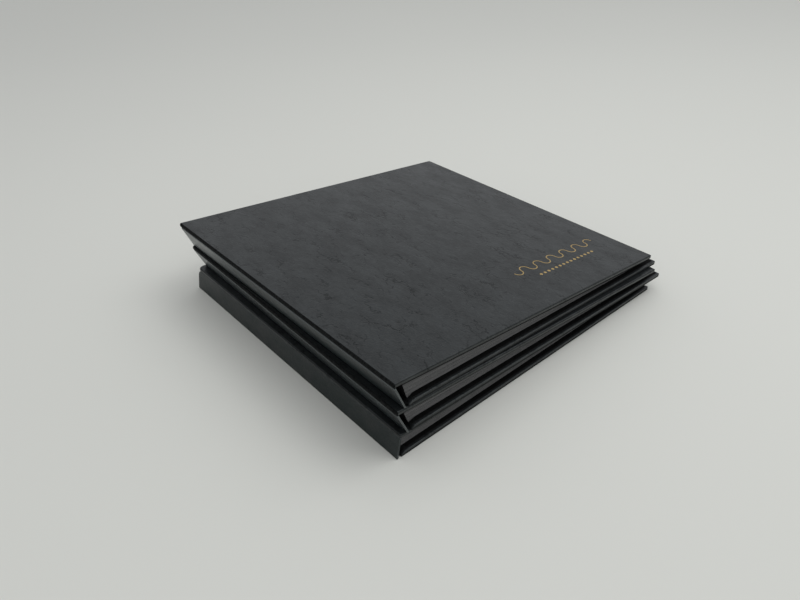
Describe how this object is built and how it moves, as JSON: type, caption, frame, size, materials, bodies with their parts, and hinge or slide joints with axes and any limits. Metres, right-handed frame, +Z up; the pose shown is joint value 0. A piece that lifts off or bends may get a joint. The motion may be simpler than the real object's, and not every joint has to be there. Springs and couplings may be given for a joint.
{
  "type": "set of stock albums",
  "caption": "Stacked casebound albums with wrapped covers, folding spines and turning leaves that hold small flat collectables.",
  "frame": {"origin": "middle of the face that the stack rests on, half way along and half way up the lowest back cover", "axes": "+X from the spines towards the fore-edges, +Y from the tail edges towards the head edges, +Z up"},
  "size_m": [0.263, 0.2371, 0.0585],
  "materials": {
    "leatherette": "satin",
    "fold_leatherette": "satin",
    "greyboard": "matte",
    "black_paper": "matte",
    "black_card": "matte",
    "leaf_card": "matte",
    "gold_foil": "satin"
  },
  "bodies": {
    "bottom_back_cover": {"bottom_back_board": "greyboard", "bottom_back_leatherette": "leatherette", "bottom_back_pastedown": "black_paper", "bottom_endleaf": "black_card"},
    "bottom_spine": {"bottom_back_fold": "fold_leatherette", "bottom_spine_card": "greyboard", "bottom_spine_leatherette": "leatherette", "bottom_spine_lining": "black_paper", "bottom_front_fold": "fold_leatherette"},
    "bottom_front_cover": {"bottom_front_board": "greyboard", "bottom_front_leatherette": "leatherette", "bottom_front_pastedown": "black_paper", "bottom_foil_ornament": "gold_foil"},
    "bottom_leaf_body_1": {"bottom_leaf_1": "leaf_card"},
    "bottom_leaf_body_2": {"bottom_leaf_2": "leaf_card"},
    "bottom_leaf_body_3": {"bottom_leaf_3": "leaf_card"},
    "bottom_leaf_body_4": {"bottom_leaf_4": "leaf_card"},
    "bottom_leaf_body_5": {"bottom_leaf_5": "leaf_card"},
    "middle_back_cover": {"middle_back_board": "greyboard", "middle_back_leatherette": "leatherette", "middle_back_pastedown": "black_paper", "middle_endleaf": "black_card"},
    "middle_spine": {"middle_back_fold": "fold_leatherette", "middle_spine_card": "greyboard", "middle_spine_leatherette": "leatherette", "middle_spine_lining": "black_paper", "middle_front_fold": "fold_leatherette"},
    "middle_front_cover": {"middle_front_board": "greyboard", "middle_front_leatherette": "leatherette", "middle_front_pastedown": "black_paper", "middle_foil_ornament": "gold_foil"},
    "middle_leaf_body_1": {"middle_leaf_1": "leaf_card"},
    "middle_leaf_body_2": {"middle_leaf_2": "leaf_card"},
    "middle_leaf_body_3": {"middle_leaf_3": "leaf_card"},
    "middle_leaf_body_4": {"middle_leaf_4": "leaf_card"},
    "middle_leaf_body_5": {"middle_leaf_5": "leaf_card"},
    "top_back_cover": {"top_back_board": "greyboard", "top_back_leatherette": "leatherette", "top_back_pastedown": "black_paper", "top_endleaf": "black_card"},
    "top_spine": {"top_back_fold": "fold_leatherette", "top_spine_card": "greyboard", "top_spine_leatherette": "leatherette", "top_spine_lining": "black_paper", "top_front_fold": "fold_leatherette"},
    "top_front_cover": {"top_front_board": "greyboard", "top_front_leatherette": "leatherette", "top_front_pastedown": "black_paper", "top_foil_ornament": "gold_foil"},
    "top_leaf_body_1": {"top_leaf_1": "leaf_card"},
    "top_leaf_body_2": {"top_leaf_2": "leaf_card"},
    "top_leaf_body_3": {"top_leaf_3": "leaf_card"},
    "top_leaf_body_4": {"top_leaf_4": "leaf_card"},
    "top_leaf_body_5": {"top_leaf_5": "leaf_card"}
  },
  "joints": [
    {"name": "bottom_spine_fold", "type": "hinge", "parent": "bottom_back_cover", "child": "bottom_spine", "pos_m": [-0.12425, 0, 0.00075], "axis": [0, -1, 0], "range_deg": [0, 8.25]},
    {"name": "bottom_cover_open", "type": "hinge", "parent": "bottom_spine", "child": "bottom_front_cover", "pos_m": [-0.12161, 0, 0.01523], "axis": [0, -1, 0], "range_deg": [0, 6.7]},
    {"name": "bottom_leaf_1_turn", "type": "hinge", "parent": "bottom_back_cover", "child": "bottom_leaf_body_1", "pos_m": [-0.12197, 0, 0.00937], "axis": [0, -1, 0], "range_deg": [0, 2.59]},
    {"name": "bottom_leaf_2_turn", "type": "hinge", "parent": "bottom_back_cover", "child": "bottom_leaf_body_2", "pos_m": [-0.12197, 0, 0.00937], "axis": [0, -1, 0], "range_deg": [0, 5.17]},
    {"name": "bottom_leaf_3_turn", "type": "hinge", "parent": "bottom_back_cover", "child": "bottom_leaf_body_3", "pos_m": [-0.12197, 0, 0.00937], "axis": [0, -1, 0], "range_deg": [0, 7.75]},
    {"name": "bottom_leaf_4_turn", "type": "hinge", "parent": "bottom_back_cover", "child": "bottom_leaf_body_4", "pos_m": [-0.12197, 0, 0.00937], "axis": [0, -1, 0], "range_deg": [0, 10.33]},
    {"name": "bottom_leaf_5_turn", "type": "hinge", "parent": "bottom_back_cover", "child": "bottom_leaf_body_5", "pos_m": [-0.12197, 0, 0.00937], "axis": [0, -1, 0], "range_deg": [0, 12.91]},
    {"name": "middle_lift", "type": "slide", "parent": "bottom_front_cover", "child": "middle_back_cover", "axis": [0, 0, 1], "range_m": [0, 0.08]},
    {"name": "middle_spine_fold", "type": "hinge", "parent": "middle_back_cover", "child": "middle_spine", "pos_m": [-0.11671, -0.00121, 0.01819], "axis": [-0.007, -1, 0.0002], "range_deg": [0, 5.39]},
    {"name": "middle_cover_open", "type": "hinge", "parent": "middle_spine", "child": "middle_front_cover", "pos_m": [-0.12383, -0.00115, 0.03497], "axis": [-0.007, -1, 0.0002], "range_deg": [0, 9.6]},
    {"name": "middle_leaf_1_turn", "type": "hinge", "parent": "middle_back_cover", "child": "middle_leaf_body_1", "pos_m": [-0.11958, -0.00119, 0.02781], "axis": [-0.007, -1, 0.0002], "range_deg": [0, 2.65]},
    {"name": "middle_leaf_2_turn", "type": "hinge", "parent": "middle_back_cover", "child": "middle_leaf_body_2", "pos_m": [-0.11958, -0.00119, 0.02781], "axis": [-0.007, -1, 0.0002], "range_deg": [0, 5.29]},
    {"name": "middle_leaf_3_turn", "type": "hinge", "parent": "middle_back_cover", "child": "middle_leaf_body_3", "pos_m": [-0.11958, -0.00119, 0.02781], "axis": [-0.007, -1, 0.0002], "range_deg": [0, 7.93]},
    {"name": "middle_leaf_4_turn", "type": "hinge", "parent": "middle_back_cover", "child": "middle_leaf_body_4", "pos_m": [-0.11958, -0.00119, 0.02781], "axis": [-0.007, -1, 0.0002], "range_deg": [0, 10.57]},
    {"name": "middle_leaf_5_turn", "type": "hinge", "parent": "middle_back_cover", "child": "middle_leaf_body_5", "pos_m": [-0.11958, -0.00119, 0.02781], "axis": [-0.007, -1, 0.0002], "range_deg": [0, 13.21]},
    {"name": "top_lift", "type": "slide", "parent": "middle_front_cover", "child": "top_back_cover", "axis": [0, 0, 1], "range_m": [0, 0.08]},
    {"name": "top_spine_fold", "type": "hinge", "parent": "top_back_cover", "child": "top_spine", "pos_m": [-0.12066, -0.00138, 0.03787], "axis": [0.0104, -0.9999, -0.001], "range_deg": [0, 64.97]},
    {"name": "top_cover_open", "type": "hinge", "parent": "top_spine", "child": "top_front_cover", "pos_m": [-0.12773, -0.00147, 0.05616], "axis": [0.0104, -0.9999, -0.001], "range_deg": [0, 116]},
    {"name": "top_leaf_1_turn", "type": "hinge", "parent": "top_back_cover", "child": "top_leaf_body_1", "pos_m": [-0.12287, -0.00141, 0.04814], "axis": [0.0104, -0.9999, -0.001], "range_deg": [0, 31.91]},
    {"name": "top_leaf_2_turn", "type": "hinge", "parent": "top_back_cover", "child": "top_leaf_body_2", "pos_m": [-0.12287, -0.00141, 0.04814], "axis": [0.0104, -0.9999, -0.001], "range_deg": [0, 63.81]},
    {"name": "top_leaf_3_turn", "type": "hinge", "parent": "top_back_cover", "child": "top_leaf_body_3", "pos_m": [-0.12287, -0.00141, 0.04814], "axis": [0.0104, -0.9999, -0.001], "range_deg": [0, 95.71]},
    {"name": "top_leaf_4_turn", "type": "hinge", "parent": "top_back_cover", "child": "top_leaf_body_4", "pos_m": [-0.12287, -0.00141, 0.04814], "axis": [0.0104, -0.9999, -0.001], "range_deg": [0, 127.61]},
    {"name": "top_leaf_5_turn", "type": "hinge", "parent": "top_back_cover", "child": "top_leaf_body_5", "pos_m": [-0.12287, -0.00141, 0.04814], "axis": [0.0104, -0.9999, -0.001], "range_deg": [0, 159.51]}
  ],
  "couplings": [
    {"joint": "bottom_spine_fold", "follows": "bottom_cover_open", "ratio": 1.23},
    {"joint": "bottom_leaf_1_turn", "follows": "bottom_cover_open", "ratio": 0.385},
    {"joint": "bottom_leaf_2_turn", "follows": "bottom_cover_open", "ratio": 0.77},
    {"joint": "bottom_leaf_3_turn", "follows": "bottom_cover_open", "ratio": 1.155},
    {"joint": "bottom_leaf_4_turn", "follows": "bottom_cover_open", "ratio": 1.54},
    {"joint": "bottom_leaf_5_turn", "follows": "bottom_cover_open", "ratio": 1.925},
    {"joint": "middle_spine_fold", "follows": "middle_cover_open", "ratio": 0.56},
    {"joint": "middle_leaf_1_turn", "follows": "middle_cover_open", "ratio": 0.275},
    {"joint": "middle_leaf_2_turn", "follows": "middle_cover_open", "ratio": 0.55},
    {"joint": "middle_leaf_3_turn", "follows": "middle_cover_open", "ratio": 0.825},
    {"joint": "middle_leaf_4_turn", "follows": "middle_cover_open", "ratio": 1.1},
    {"joint": "middle_leaf_5_turn", "follows": "middle_cover_open", "ratio": 1.375},
    {"joint": "top_spine_fold", "follows": "top_cover_open", "ratio": 0.56},
    {"joint": "top_leaf_1_turn", "follows": "top_cover_open", "ratio": 0.275},
    {"joint": "top_leaf_2_turn", "follows": "top_cover_open", "ratio": 0.55},
    {"joint": "top_leaf_3_turn", "follows": "top_cover_open", "ratio": 0.825},
    {"joint": "top_leaf_4_turn", "follows": "top_cover_open", "ratio": 1.1},
    {"joint": "top_leaf_5_turn", "follows": "top_cover_open", "ratio": 1.375}
  ]
}
